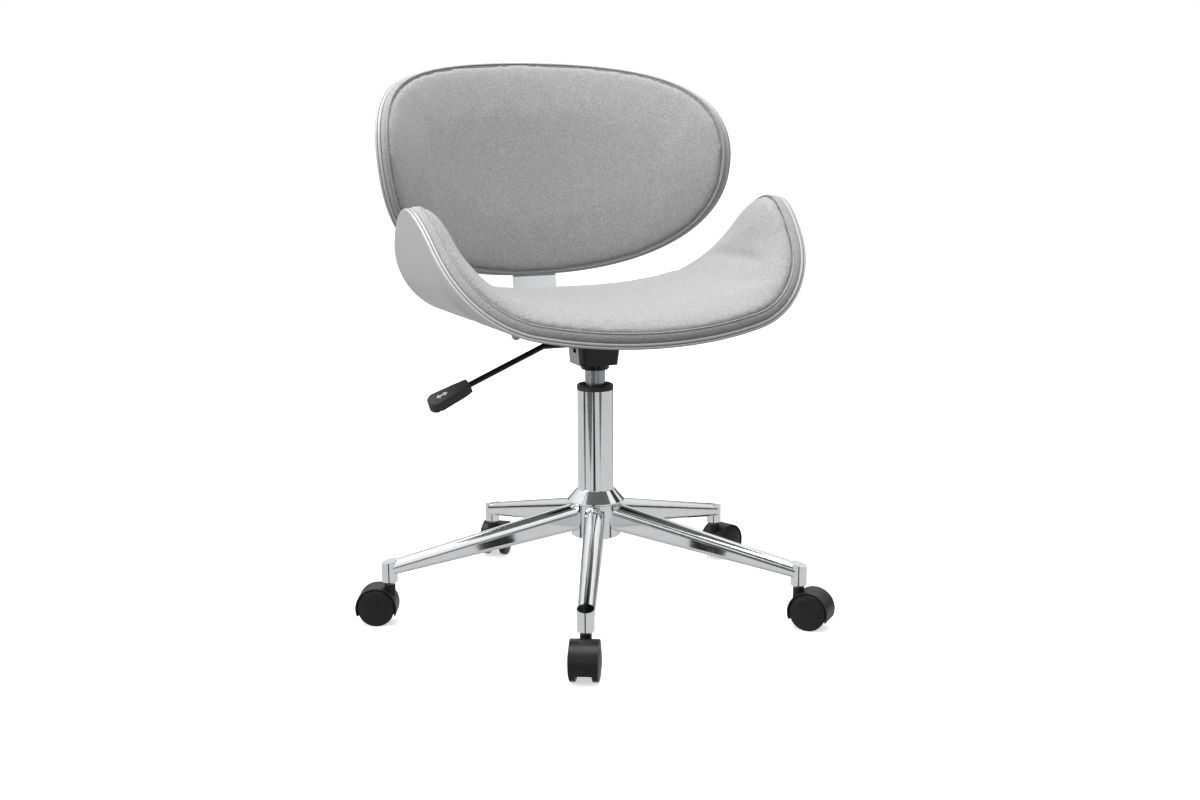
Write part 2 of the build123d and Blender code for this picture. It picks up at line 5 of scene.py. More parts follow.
import bmesh
import bpy
from mathutils import Euler, Matrix, Vector
from mathutils.kdtree import KDTree


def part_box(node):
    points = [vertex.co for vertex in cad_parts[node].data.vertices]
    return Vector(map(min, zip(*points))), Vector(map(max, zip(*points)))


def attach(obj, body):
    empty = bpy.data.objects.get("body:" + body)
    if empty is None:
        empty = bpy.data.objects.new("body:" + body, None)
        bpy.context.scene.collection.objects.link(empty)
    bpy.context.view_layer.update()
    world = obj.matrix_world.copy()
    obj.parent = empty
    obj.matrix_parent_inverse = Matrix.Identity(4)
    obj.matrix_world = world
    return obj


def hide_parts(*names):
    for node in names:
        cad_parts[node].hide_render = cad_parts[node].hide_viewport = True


bl_info = {
    "name": "Swivel desk chair",
    "version": (1, 0, 0),
    "blender": (4, 5, 0),
    "location": "View3D > Sidebar > Chair",
    "description": "Builds the chair's shells, pads, finishes and studio round its CAD frame",
    "category": "Add Mesh",
}

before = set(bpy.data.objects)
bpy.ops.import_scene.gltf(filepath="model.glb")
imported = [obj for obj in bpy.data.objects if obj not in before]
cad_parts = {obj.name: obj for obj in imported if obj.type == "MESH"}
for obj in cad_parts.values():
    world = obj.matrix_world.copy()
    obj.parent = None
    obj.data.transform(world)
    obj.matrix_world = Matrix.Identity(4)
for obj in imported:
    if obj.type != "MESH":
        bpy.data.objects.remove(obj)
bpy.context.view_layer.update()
MM = 0.001

RIM_POINTS = 256         # points round an outline, shared by a shell and the pad that sits on it
MEASURE_STEPS = 4000     # steps round an outline when its length is measured
SETTLE_FRAMES = 20       # frames that the cushions' cloth is given to swell
RIM_WIDTH = 0.008        # strip along a shell's edge that the sanding and the glue line shape
STITCH = 0.0022          # pad's band to the line that its cushion is sewn along
CLEARANCE = 0.0004       # between two pieces that lie on each other


# --- sizes and colours that a user would change ---

def length(name, description, default):
    return bpy.props.FloatProperty(name=name, description=description, default=default,
                                   unit="LENGTH", precision=5)


def angle(name, description, default):
    return bpy.props.FloatProperty(name=name, description=description, default=radians(default),
                                   subtype="ANGLE")


def number(name, description, default):
    return bpy.props.FloatProperty(name=name, description=description, default=default)


def colour(name, description, default):
    return bpy.props.StringProperty(name=name, description=description, default=default)


class ChairSeat(bpy.types.PropertyGroup):
    """The seat's bent form: a flat arc, a tight arc and a straight wing on each side."""

    bottom: length("Height", "Lowest point of the shell's outer face", 0.3952)
    tilt: angle("Tilt", "Turn about X, negative with the front higher", -0.7)
    middle_y: length("Middle", "Where the widest line of the outline crosses the middle", -0.1204)
    flat_radius: length("Flat radius", "Radius of the seat's middle", 0.812)
    flat_end: length("Flat end", "Arc length where the tight bend starts", 0.1556)
    bend_radius: length("Bend radius", "Radius of the bend up into a wing", 0.1386)
    bend_end: length("Bend end", "Arc length where the straight wing starts", 0.321)
    half_arc: length("Half width", "Arc length from the middle to a wing's tip", 0.371)
    front_half: length("Front depth", "Outline ahead of its widest line", 0.0968)
    front_power: number("Front roundness", "Power of the front superellipse", 2.34)
    rear_half: length("Rear depth", "Outline behind its widest line", 0.3109)
    rear_power: number("Rear roundness", "Power of the rear superellipse", 1.56)
    sweep: length("Wing sweep", "How far the wing tips lie behind the middle", 0.0955)
    sweep_power: number("Sweep power", "How late the sweep sets in", 2.28)
    seam: length("Seam", "Outer face of the shell to the pad's seam", 0.020)
    crown: length("Crown", "Outer face of the shell to the pad's middle", 0.0455)
    spread: length("Crown spread", "Distance from the seam to the full crown", 0.042)


class ChairBack(bpy.types.PropertyGroup):
    """The back's bent form: part of a leaning cylinder with its ends forward."""

    y: length("Place", "Rear face at the widest height, Y", 0.2672)
    z: length("Height", "Widest height", 0.575)
    recline: angle("Recline", "Lean of the back", 14.2)
    radius: length("Radius", "Radius of the rear face", 0.3121)
    half_arc: length("Half width", "Arc length from the middle to an end", 0.3237)
    upper_half: length("Upper height", "Outline above the widest height", 0.185)
    upper_power: number("Upper roundness", "Power of the upper superellipse", 1.98)
    lower_half: length("Lower height", "Outline below the widest height", 0.1337)
    lower_power: number("Lower roundness", "Power of the lower superellipse", 2.45)
    spread_up: number("Widening", "Share of widening per metre of height", 0.73)
    seam: length("Seam", "Outer face of the shell to the pad's seam", 0.0165)
    crown: length("Crown", "Outer face of the shell to the pad's middle", 0.034)
    spread: length("Crown spread", "Distance from the seam to the full crown", 0.055)


class ChairPanels(bpy.types.PropertyGroup):
    """What the two shells and the two pads share."""

    ply: length("Shell thickness", "Two veneer packs glued face to face", 0.008)
    edge: length("Edge radius", "Sanded edge of the shell", 0.0011)
    glue_line: length("Glue line", "Depth of the fine groove between the two packs", 0.00045)
    inset: length("Pad inset", "How far the pad's band stands in from the shell's edge", 0.0009)
    welt: length("Welt radius", "Fabric-covered cord in the seam", 0.00115)
    voxel: length("Voxel", "Grid for the cushion's cloth simulation", 0.005)
    pressure: number("Pressure", "Air pressure that swells the cushion", 3.0)
    swell: length("Swell", "Furthest that the cushion may swell", 0.0035)


class ChairLever(bpy.types.PropertyGroup):
    """The height lever's paddle and the print on it."""

    slope: angle("Slope", "Fall of the lever towards its tip", 23.1)
    roll: angle("Roll", "Turn of the paddle's top face to the front", 25.0)
    face: length("Top face", "Lever's axis to the paddle's top face", 0.0065)
    print_size: length("Print", "Length of the printed arrows", 0.017)
    print_back: length("Print place", "Paddle's tip to the middle of the print", 0.024)


class ChairColours(bpy.types.PropertyGroup):
    """sRGB colours of the finishes."""

    fabric: colour("Fabric", "Mid tone of the wool", "#A5A5A5")
    lacquer: colour("Lacquer", "Shell lacquer", "#BEBEBE")
    chrome: colour("Chrome", "Reflection colour of chrome", "#E9EAEB")
    zinc: colour("Zinc", "Zinc-plated steel", "#A5A6A8")
    nylon: colour("Nylon", "Castor plastic", "#202021")
    enamel: colour("Enamel", "Black enamel", "#060606")
    paddle: colour("Paddle", "Paddle plastic", "#262627")
    floor: colour("Floor", "Studio floor", "#F4F4F4")


class ChairStudio(bpy.types.PropertyGroup):
    """Camera and lights."""

    aim: bpy.props.FloatVectorProperty(name="Aim", description="Point the camera looks at",
                                       default=(0.0056, -0.004, 0.2952), subtype="TRANSLATION")
    turn: angle("Turn", "Camera's turn from straight ahead", 22.66)
    height: angle("Height", "Camera's height above the horizon", 10.77)
    roll: angle("Roll", "Camera's roll", -0.3)
    distance: length("Distance", "Camera to the aim", 2.30)
    lens: number("Lens", "Focal length in millimetres", 49.7)
    key: number("Key", "Power of the overhead softbox in watts", 62.0)
    side: number("Side", "Power of the side softbox in watts", 26.0)
    fill: number("Fill", "Brightness of the room", 0.55)


# --- node helper and colours ---

def linear(hex_code, alpha=1.0):
    """An sRGB hex colour as the linear values that a shader takes."""
    channels = [int(hex_code[i:i + 2], 16) / 255 for i in (1, 3, 5)]
    return [c / 12.92 if c <= 0.04045 else ((c + 0.055) / 1.055) ** 2.4 for c in channels] + [alpha]


def add_node(tree, kind, links=None, values=None, **settings):
    """Add a node with its settings, socket values and incoming links."""
    made = tree.nodes.new(kind)
    for name, value in settings.items():
        setattr(made, name, value)
    for name, value in (values or {}).items():
        made.inputs[name].default_value = value
    for name, source in (links or {}).items():
        tree.links.new(source, made.inputs[name])
    return made


def new_material(name, **values):
    """A material with one Principled BSDF, its values set on the shader's own sockets."""
    made = bpy.data.materials.new(name)
    made.use_nodes = True
    tree = made.node_tree
    shader = tree.nodes["Principled BSDF"]
    for socket, value in values.items():
        shader.inputs[socket.replace("_", " ")].default_value = value
    place = add_node(tree, "ShaderNodeTexCoord").outputs["Object"]
    return made, tree, shader, place


def noise(tree, place, grain, detail=3.0, stretch=(1, 1, 1)):
    """Noise whose lumps are about `grain` metres across."""
    scaled = add_node(tree, "ShaderNodeMapping", {"Vector": place}, {"Scale": stretch})
    return add_node(tree, "ShaderNodeTexNoise", {"Vector": scaled.outputs["Vector"]},
                    {"Scale": 1 / grain, "Detail": detail}).outputs["Fac"]


def remap(tree, fac, low, high, start=0.3, end=0.7):
    return add_node(tree, "ShaderNodeMapRange", {"Value": fac},
                    {"From Min": start, "From Max": end, "To Min": low, "To Max": high}).outputs["Result"]


def shades(tree, fac, *stops):
    """A colour ramp from (position, hex) stops."""
    ramp = add_node(tree, "ShaderNodeValToRGB", {"Fac": fac})
    elements = ramp.color_ramp.elements
    while len(elements) < len(stops):
        elements.new(0.5)
    for element, (position, hex_code) in zip(elements, stops):
        element.position, element.color = position, linear(hex_code)
    return ramp.outputs["Color"]


def bump(tree, shader, fac, height, previous=None):
    links = {"Height": fac}
    if previous:
        links["Normal"] = previous
    made = add_node(tree, "ShaderNodeBump", links, {"Distance": height, "Strength": 1.0})
    tree.links.new(made.outputs["Normal"], shader.inputs["Normal"])
    return made.outputs["Normal"]


def darker(hex_code, share):
    """A hex colour with each channel scaled."""
    return "#" + "".join(f"{min(255, round(int(hex_code[i:i + 2], 16) * share)):02X}" for i in (1, 3, 5))


# --- materials ---

def felted_wool(colours):
    """Felted wool, fulled after weaving: a soft mottle of mixed grey fibres, matt, with a fine nap.
    Real fibres are 0.03 mm thick, too fine to show, so the clumps are drawn at about 1.3 mm."""
    made, tree, shader, place = new_material("felted_wool", Roughness=0.95, Sheen_Weight=0.25,
                                             Sheen_Roughness=0.45, Specular_IOR_Level=0.25)
    clumps = noise(tree, place, 1.3 * MM, 5)
    mottle = noise(tree, place, 9 * MM, 2)
    fleck = add_node(tree, "ShaderNodeTexVoronoi", {"Vector": place}, {"Scale": 1 / (2.4 * MM)})
    tone = shades(tree, clumps, (0.30, darker(colours.fabric, 0.82)), (0.5, colours.fabric),
                  (0.72, darker(colours.fabric, 1.15)))
    mixed = add_node(tree, "ShaderNodeMix", data_type="RGBA", blend_type="MULTIPLY")
    mixed.inputs["Factor"].default_value = 1.0
    tree.links.new(tone, mixed.inputs["A"])
    tree.links.new(shades(tree, mottle, (0.3, "#F8F8F8"), (0.7, "#FFFFFF")), mixed.inputs["B"])
    tree.links.new(mixed.outputs["Result"], shader.inputs["Base Color"])
    first = bump(tree, shader, clumps, 0.45 * MM)
    bump(tree, shader, fleck.outputs["Distance"], 0.22 * MM, first)
    return made


def lacquered_ply(colours):
    """Satin lacquer sprayed on sanded beech ply: smooth, with the faintest grain and orange peel."""
    made, tree, shader, place = new_material("lacquered_ply", Coat_Weight=0.35, Coat_Roughness=0.18)
    grain = noise(tree, place, 1.4 * MM, 4, (0.06, 1, 1))
    peel = noise(tree, place, 2.5 * MM, 1)
    tree.links.new(shades(tree, grain, (0.3, darker(colours.lacquer, 0.975)), (0.7, colours.lacquer)),
                   shader.inputs["Base Color"])
    tree.links.new(remap(tree, noise(tree, place, 30 * MM), 0.34, 0.44), shader.inputs["Roughness"])
    first = bump(tree, shader, grain, 0.03 * MM)
    bump(tree, shader, peel, 0.03 * MM, first)
    return made


def ply_glue_line():
    """Cut edge of the glue line between the two veneer packs, seen as a fine dark line."""
    made, tree, shader, place = new_material("ply_glue_line", Roughness=0.7)
    tree.links.new(shades(tree, noise(tree, place, 3 * MM), (0.3, "#4A4A4A"), (0.7, "#5E5E5E")),
                   shader.inputs["Base Color"])
    return made


def chrome_plate(colours):
    """Bright chrome on polished steel tube: a near mirror with faint polishing haze."""
    made, tree, shader, place = new_material("chrome_plate", Metallic=1.0)
    haze = noise(tree, place, 18 * MM, 4)
    wipe = noise(tree, place, 0.6 * MM, 2, (1, 1, 0.05))
    tree.links.new(shades(tree, haze, (0.3, darker(colours.chrome, 0.97)), (0.7, colours.chrome)),
                   shader.inputs["Base Color"])
    tree.links.new(remap(tree, haze, 0.05, 0.11), shader.inputs["Roughness"])
    bump(tree, shader, wipe, 0.004 * MM)
    return made


def zinc_plate(colours):
    """Bright zinc on pressed and turned steel: greyer than chrome, softly blurred, slightly blotched."""
    made, tree, shader, place = new_material("zinc_plate", Metallic=1.0)
    blotch = noise(tree, place, 4 * MM, 4)
    tree.links.new(shades(tree, blotch, (0.3, darker(colours.zinc, 0.9)), (0.7, colours.zinc)),
                   shader.inputs["Base Color"])
    tree.links.new(remap(tree, blotch, 0.26, 0.38), shader.inputs["Roughness"])
    bump(tree, shader, noise(tree, place, 0.8 * MM), 0.015 * MM)
    return made


def ground_steel():
    """Centreless-ground steel of the lift's cylinder: fine rings round it, satin."""
    made, tree, shader, place = new_material("ground_steel", Metallic=1.0)
    rings = noise(tree, place, 0.5 * MM, 2, (0.05, 0.05, 1))
    tree.links.new(shades(tree, rings, (0.3, "#9B9C9E"), (0.7, "#B4B5B7")), shader.inputs["Base Color"])
    tree.links.new(remap(tree, rings, 0.2, 0.32), shader.inputs["Roughness"])
    bump(tree, shader, rings, 0.006 * MM)
    return made


def moulded_nylon(colours):
    """Glass-filled nylon, injection moulded: near black, satin, with a fine spark-eroded grain."""
    made, tree, shader, place = new_material("moulded_nylon", Specular_IOR_Level=0.3)
    flow = noise(tree, place, 12 * MM, 3)
    spark = noise(tree, place, 0.7 * MM, 2)
    tone = shades(tree, flow, (0.3, darker(colours.nylon, 0.92)), (0.7, darker(colours.nylon, 1.06)))
    tree.links.new(tone, shader.inputs["Base Color"])
    tree.links.new(remap(tree, flow, 0.32, 0.42), shader.inputs["Roughness"])
    bump(tree, shader, spark, 0.03 * MM)
    return made


def moulded_abs(colours):
    """ABS of the paddle and collar: black with a coarse eroded grain that greys its lit faces."""
    made, tree, shader, place = new_material("moulded_abs")
    spark = noise(tree, place, 0.6 * MM, 2)
    tone = shades(tree, spark, (0.3, darker(colours.paddle, 0.85)), (0.7, darker(colours.paddle, 1.15)))
    tree.links.new(tone, shader.inputs["Base Color"])
    tree.links.new(remap(tree, spark, 0.42, 0.55), shader.inputs["Roughness"])
    bump(tree, shader, spark, 0.05 * MM)
    return made


def stove_enamel(colours):
    """Black stoving enamel on pressed steel: deep gloss with a slight orange peel."""
    made, tree, shader, place = new_material("stove_enamel", Coat_Weight=0.25, Coat_Roughness=0.06,
                                             Specular_IOR_Level=0.25)
    peel = noise(tree, place, 1.8 * MM, 2)
    tree.links.new(shades(tree, peel, (0.3, colours.enamel), (0.7, "#0B0B0B")), shader.inputs["Base Color"])
    tree.links.new(remap(tree, noise(tree, place, 10 * MM), 0.16, 0.26), shader.inputs["Roughness"])
    bump(tree, shader, peel, 0.02 * MM)
    return made


def black_rubber():
    """Moulded EPDM: matt, dark grey where it has bloomed."""
    made, tree, shader, place = new_material("black_rubber", Specular_IOR_Level=0.35)
    bloom = noise(tree, place, 5 * MM, 3)
    tree.links.new(shades(tree, bloom, (0.3, "#161616"), (0.7, "#222222")), shader.inputs["Base Color"])
    tree.links.new(remap(tree, bloom, 0.7, 0.85), shader.inputs["Roughness"])
    return made


def pad_print():
    """Pad-printed ink on the paddle: light grey, thin enough to show the grain."""
    made, tree, shader, place = new_material("pad_print_ink", Roughness=0.55)
    tree.links.new(shades(tree, noise(tree, place, 0.8 * MM), (0.25, "#A8A8A8"), (0.6, "#D5D5D5")),
                   shader.inputs["Base Color"])
    bump(tree, shader, noise(tree, place, 0.6 * MM, 2), 0.03 * MM)
    return made


def studio_floor(colours):
    """Matt white seamless vinyl, with a little light of its own so that it stays white far out."""
    made, tree, shader, place = new_material("seamless_vinyl", Roughness=0.75)
    tree.links.new(shades(tree, noise(tree, place, 0.4), (0.3, colours.floor), (0.7, "#F7F7F7")),
                   shader.inputs["Base Color"])
    shader.inputs["Emission Color"].default_value = linear(colours.floor)
    shader.inputs["Emission Strength"].default_value = 0.62
    return made


MATERIALS = {}


def make_materials(colours):
    """Make every finish once and keep it by its role."""
    MATERIALS.update(
        fabric=felted_wool(colours), ply=lacquered_ply(colours), glue=ply_glue_line(),
        chrome=chrome_plate(colours), zinc=zinc_plate(colours), ground=ground_steel(),
        nylon=moulded_nylon(colours), abs=moulded_abs(colours), enamel=stove_enamel(colours),
        rubber=black_rubber(), ink=pad_print(), floor=studio_floor(colours))


def finish_nodes(role, *names):
    """Give CAD nodes a finish."""
    for name in names:
        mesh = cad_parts[name].data
        mesh.materials.clear()
        mesh.materials.append(MATERIALS[role])


# --- the two bent forms ---

def signed(value, power):
    return copysign(abs(value) ** power, value)


class SeatForm:
    """The seat: arc runs across, along runs back, rise is measured off the outer face."""

    def __init__(self, seat):
        self.s = seat
        self.centre = (seat.rear_half - seat.front_half) / 2

    def edge(self, turn, inset):
        s = self.s
        half, power = (s.rear_half, s.rear_power) if sin(turn) > 0 else (s.front_half, s.front_power)
        arc = (s.half_arc - inset) * signed(cos(turn), 2 / power)
        return arc, (half - inset) * signed(sin(turn), 2 / power)

    def place(self, arc, along, rise):
        s, reach = self.s, abs(arc)
        flat = min(reach, s.flat_end) / s.flat_radius
        bend = flat + max(0, min(reach, s.bend_end) - s.flat_end) / s.bend_radius
        straight = max(0, reach - s.bend_end)
        x = s.flat_radius * sin(flat) + s.bend_radius * (sin(bend) - sin(flat)) + straight * cos(bend)
        z = s.flat_radius * (1 - cos(flat)) + s.bend_radius * (cos(flat) - cos(bend)) + straight * sin(bend)
        y = along + s.middle_y + s.sweep * (reach / s.half_arc) ** s.sweep_power
        spot = Vector((copysign(x - rise * sin(bend), arc), y, z + rise * cos(bend)))
        return Matrix.Translation((0, 0, s.bottom)) @ Matrix.Rotation(s.tilt, 4, "X") @ spot


class BackForm:
    """The back: arc runs across, along runs up, rise is measured forward off the rear face."""

    def __init__(self, back):
        self.b = back
        self.centre = (back.upper_half - back.lower_half) / 2

    def edge(self, turn, inset):
        b = self.b
        half, power = (b.upper_half, b.upper_power) if sin(turn) > 0 else (b.lower_half, b.lower_power)
        up = (half - inset) * signed(sin(turn), 2 / power)
        return (b.half_arc - inset) * signed(cos(turn), 2 / power) * (1 + b.spread_up * up), up

    def place(self, arc, along, rise):
        b = self.b
        turn, radius = arc / b.radius, b.radius - rise
        spot = Vector((radius * sin(turn), radius * cos(turn) - b.radius, along))
        return Matrix.Translation((0, b.y, b.z)) @ Matrix.Rotation(-b.recline, 4, "X") @ spot


def even_turns(form, count):
    """Angles at which the outline's points are evenly spaced."""
    fine = [tau * i / MEASURE_STEPS for i in range(MEASURE_STEPS + 1)]
    points = [Vector(form.edge(turn, 0)) for turn in fine]
    run = [0.0]
    for a, b in zip(points, points[1:]):
        run.append(run[-1] + (b - a).length)
    turns, at = [], 0
    for i in range(count):
        while run[at + 1] < run[-1] * i / count:
            at += 1
        share = (run[-1] * i / count - run[at]) / (run[at + 1] - run[at])
        turns.append(fine[at] + share * (fine[at + 1] - fine[at]))
    return turns


def ring_of(form, turns, inset, rise, shrink=1.0):
    """One closed loop of points; shrink draws it towards the form's middle."""
    points = []
    for turn in turns:
        arc, along = form.edge(turn, inset)
        points.append(form.place(arc * shrink, form.centre + (along - form.centre) * shrink, rise))
    return points


def mesh_object(name, build):
    """A mesh object at the origin from a bmesh that `build` fills, its faces pointing outwards."""
    bm = bmesh.new()
    build(bm)
    bmesh.ops.recalc_face_normals(bm, faces=bm.faces)
    mesh = bpy.data.meshes.new(name)
    bm.to_mesh(mesh)
    bm.free()
    for face in mesh.polygons:
        face.use_smooth = True
    made = bpy.data.objects.new(name, mesh)
    bpy.context.scene.collection.objects.link(made)
    return made


def skin_loops(bm, loops, closed=False, material_of=None):
    """Quads between loops; the first and last are fanned shut unless the stack itself closes."""
    rows = [[bm.verts.new(p) for p in loop] for loop in loops]
    pairs = list(zip(rows, rows[1:])) + ([(rows[-1], rows[0])] if closed else [])
    for index, (a, b) in enumerate(pairs):
        for i in range(len(a)):
            j = (i + 1) % len(a)
            face = bm.faces.new((a[i], a[j], b[j], b[i]))
            if material_of:
                face.material_index = material_of(index)
    if not closed:
        for row in (rows[0], rows[-1]):
            middle = bm.verts.new(sum((v.co for v in row), Vector()) / len(row))
            for i in range(len(row)):
                bm.faces.new((row[i], row[(i + 1) % len(row)], middle))
    return rows


def shell_loops(form, turns, panels):
    """The ply shell's loops: inner face, sanded edge with its glue line, outer face."""
    t, e, g = panels.ply, panels.edge, panels.glue_line
    inner = [(RIM_WIDTH, t, k / 12) for k in range(1, 12)]
    rim = [(RIM_WIDTH, t, 1), (e * 2, t, 1), (e * 0.8, t - e * 0.2, 1), (e * 0.2, t - e * 0.8, 1),
           (0, t - e * 1.6, 1), (0, t / 2 + g, 1), (g, t / 2 + g * 0.6, 1), (g, t / 2 - g * 0.6, 1),
           (0, t / 2 - g, 1), (0, e * 1.6, 1), (e * 0.2, e * 0.8, 1), (e * 0.8, e * 0.2, 1),
           (e * 2, 0, 1), (RIM_WIDTH, 0, 1)]
    outer = [(RIM_WIDTH, 0, k / 12) for k in range(11, 0, -1)]
    return [ring_of(form, turns, inset, rise, shrink) for inset, rise, shrink in inner + rim + outer]


def make_shell(name, form, panels):
    """A ply shell, its glue line in a finish of its own."""
    turns = even_turns(form, RIM_POINTS)
    loops = shell_loops(form, turns, panels)
    groove = (16, 17, 18)    # the strips between the four loops of the glue line

    def build(bm):
        skin_loops(bm, loops, material_of=lambda index: 1 if index in groove else 0)

    shell = mesh_object(name, build)
    shell.data.materials.append(MATERIALS["ply"])
    shell.data.materials.append(MATERIALS["glue"])
    return shell


def make_band(name, form, sizes, panels):
    """The pad's boxing band, a fabric ring between the shell and the seam."""
    turns = even_turns(form, RIM_POINTS)
    low, high, inset = panels.ply + CLEARANCE, sizes.seam, panels.inset
    bulge = 0.0007
    section = [(0.009, low), (inset + 0.0012, low), (inset + 0.0002, low + 0.0010),
               (inset - bulge * 0.6, low + (high - low) * 0.3), (inset - bulge, low + (high - low) * 0.55),
               (inset - bulge * 0.3, high - 0.0022), (inset + 0.0008, high - 0.0006), (inset + 0.003, high),
               (0.009, high)]
    loops = [ring_of(form, turns, *spot) for spot in section]
    band = mesh_object(name, lambda bm: skin_loops(bm, loops, closed=True))
    band.data.materials.append(MATERIALS["fabric"])
    return band


def cushion_loops(form, sizes, panels):
    """The crowned top of a pad before it swells: a base under the seam, then the crown."""
    turns = even_turns(form, RIM_POINTS)
    start = panels.inset + STITCH
    base = sizes.seam - 0.004
    low, high = sizes.seam + CLEARANCE, sizes.crown - panels.swell * 0.35
    loops = [ring_of(form, turns, start + 0.003, base, k / 6) for k in range(1, 7)]
    steps = (0.0, 0.02, 0.05, 0.1, 0.17, 0.26, 0.37, 0.5, 0.65, 0.82, 1.0)
    loops += [ring_of(form, turns, start + share * sizes.spread, low + (high - low) * share ** 0.36)
              for share in steps]
    loops += [ring_of(form, turns, start + sizes.spread, high, k / 10) for k in range(9, 0, -1)]
    return loops


def swell(cushion, panels):
    """Cloth under air pressure, held along the seam, with its travel capped; then applied."""
    rest = [v.co.copy() for v in cushion.data.vertices]
    cloth = cushion.modifiers.new("Cloth", "CLOTH")
    cloth.settings.quality = 6
    cloth.settings.mass = 0.3
    cloth.settings.tension_stiffness = 15
    cloth.settings.compression_stiffness = 15
    cloth.settings.bending_stiffness = 4.0
    cloth.settings.use_pressure = True
    cloth.settings.uniform_pressure_force = panels.pressure
    cloth.settings.vertex_group_mass = "held"
    cloth.settings.effector_weights.gravity = 0
    cloth.point_cache.frame_start = 1
    cloth.point_cache.frame_end = SETTLE_FRAMES
    for step in range(1, SETTLE_FRAMES + 1):
        bpy.context.scene.frame_set(step)
    settled = cushion.evaluated_get(bpy.context.evaluated_depsgraph_get())
    moved = [v.co.copy() for v in settled.data.vertices]
    cushion.modifiers.remove(cloth)
    for vertex, before, after in zip(cushion.data.vertices, rest, moved):
        travel = after - before
        if travel.length > panels.swell:
            travel *= panels.swell / travel.length
        vertex.co = before + travel
    bpy.context.scene.frame_set(1)


def apply_modifiers(piece):
    """Bake a piece's modifiers into its mesh and remove them."""
    evaluated = piece.evaluated_get(bpy.context.evaluated_depsgraph_get())
    mesh = bpy.data.meshes.new_from_object(evaluated)
    piece.modifiers.clear()
    old, piece.data = piece.data, mesh
    bpy.data.meshes.remove(old)


def make_cushion(name, form, sizes, panels):
    """A pad's cushion: remeshed evenly, swelled as cloth, then smoothed and subdivided once."""
    loops = cushion_loops(form, sizes, panels)
    cushion = mesh_object(name, lambda bm: skin_loops(bm, loops))
    remesh = cushion.modifiers.new("Remesh", "REMESH")
    remesh.mode = "VOXEL"
    remesh.voxel_size = panels.voxel
    apply_modifiers(cushion)
    seam = ring_of(form, even_turns(form, RIM_POINTS), panels.inset + STITCH, sizes.seam)
    hold_seam(cushion, seam, panels.voxel)
    swell(cushion, panels)
    smooth = cushion.modifiers.new("Smooth", "SMOOTH")
    smooth.factor, smooth.iterations = 0.5, 12
    subdivide = cushion.modifiers.new("Subdivision", "SUBSURF")
    subdivide.levels = subdivide.render_levels = 1
    apply_modifiers(cushion)
    for face in cushion.data.polygons:
        face.use_smooth = True
    cushion.data.materials.clear()
    cushion.data.materials.append(MATERIALS["fabric"])
    return cushion


def hold_seam(cushion, seam, reach):
    """Weight the points near the seam and under it, so that the cloth is sewn down there: wholly
    within three quarters of the reach, and not at all past twice the reach."""
    tree = KDTree(len(seam))
    for i, p in enumerate(seam):
        tree.insert(p, i)
    tree.balance()
    group = cushion.vertex_groups.new(name="held")
    for vertex in cushion.data.vertices:
        away = tree.find(vertex.co)[2]
        weight = max(0.0, min(1.0, 1.6 - away / reach * 0.8))
        if weight > 0:
            group.add([vertex.index], weight, "REPLACE")


# --- geometry nodes ---

def socket_in(tree, name, kind, default=None):
    """Add a named input to a node tree."""
    made = tree.interface.new_socket(name=name, in_out="INPUT", socket_type=kind)
    if default is not None:
        made.default_value = default
    return made


def tube_tree(name):
    """Geometry Nodes: a round cord along a closed path."""
    tree = bpy.data.node_groups.new(name, "GeometryNodeTree")
    socket_in(tree, "Path", "NodeSocketGeometry")
    tree.interface.new_socket(name="Cord", in_out="OUTPUT", socket_type="NodeSocketGeometry")
    socket_in(tree, "Radius", "NodeSocketFloat", 0.001)
    socket_in(tree, "Sides", "NodeSocketInt", 10)
    socket_in(tree, "Finish", "NodeSocketMaterial")
    given = add_node(tree, "NodeGroupInput").outputs
    circle = add_node(tree, "GeometryNodeCurvePrimitiveCircle",
                      {"Radius": given["Radius"], "Resolution": given["Sides"]})
    line = add_node(tree, "GeometryNodeMeshToCurve", {"Mesh": given["Path"]})
    tube = add_node(tree, "GeometryNodeCurveToMesh",
                    {"Curve": line.outputs["Curve"], "Profile Curve": circle.outputs["Curve"]})
    real = add_node(tree, "GeometryNodeRealizeInstances", {"Geometry": tube.outputs["Mesh"]})
    painted = add_node(tree, "GeometryNodeSetMaterial",
                       {"Geometry": real.outputs["Geometry"], "Material": given["Finish"]})
    add_node(tree, "NodeGroupOutput", {"Cord": painted.outputs["Geometry"]})
    return tree


def run_nodes(piece, tree, **inputs):
    """Run a node tree on a piece with inputs set by their sockets' identifiers, then bake it."""
    modifier = piece.modifiers.new("Nodes", "NODES")
    modifier.node_group = tree
    for item in tree.interface.items_tree:
        if item.in_out == "INPUT" and item.name in inputs:
            modifier[item.identifier] = inputs[item.name]
    apply_modifiers(piece)
    for face in piece.data.polygons:
        face.use_smooth = True
    return piece


def path_object(name, points):
    """A closed line of mesh edges, for Geometry Nodes to follow."""
    mesh = bpy.data.meshes.new(name)
    count = len(points)
    mesh.from_pydata(points, [(i, (i + 1) % count) for i in range(count)], [])
    made = bpy.data.objects.new(name, mesh)
    bpy.context.scene.collection.objects.link(made)
    return made


def make_welt(name, form, sizes, panels):
    """The fabric-covered cord sewn into the seam."""
    turns = even_turns(form, RIM_POINTS * 2)
    line = ring_of(form, turns, panels.inset + panels.welt * 0.9, sizes.seam + CLEARANCE)
    return run_nodes(path_object(name, line), tube_tree(name + "_nodes"), Radius=panels.welt,
                     Sides=10, Finish=MATERIALS["fabric"])


# --- operators ---

def settings():
    return bpy.context.scene.chair_sizes


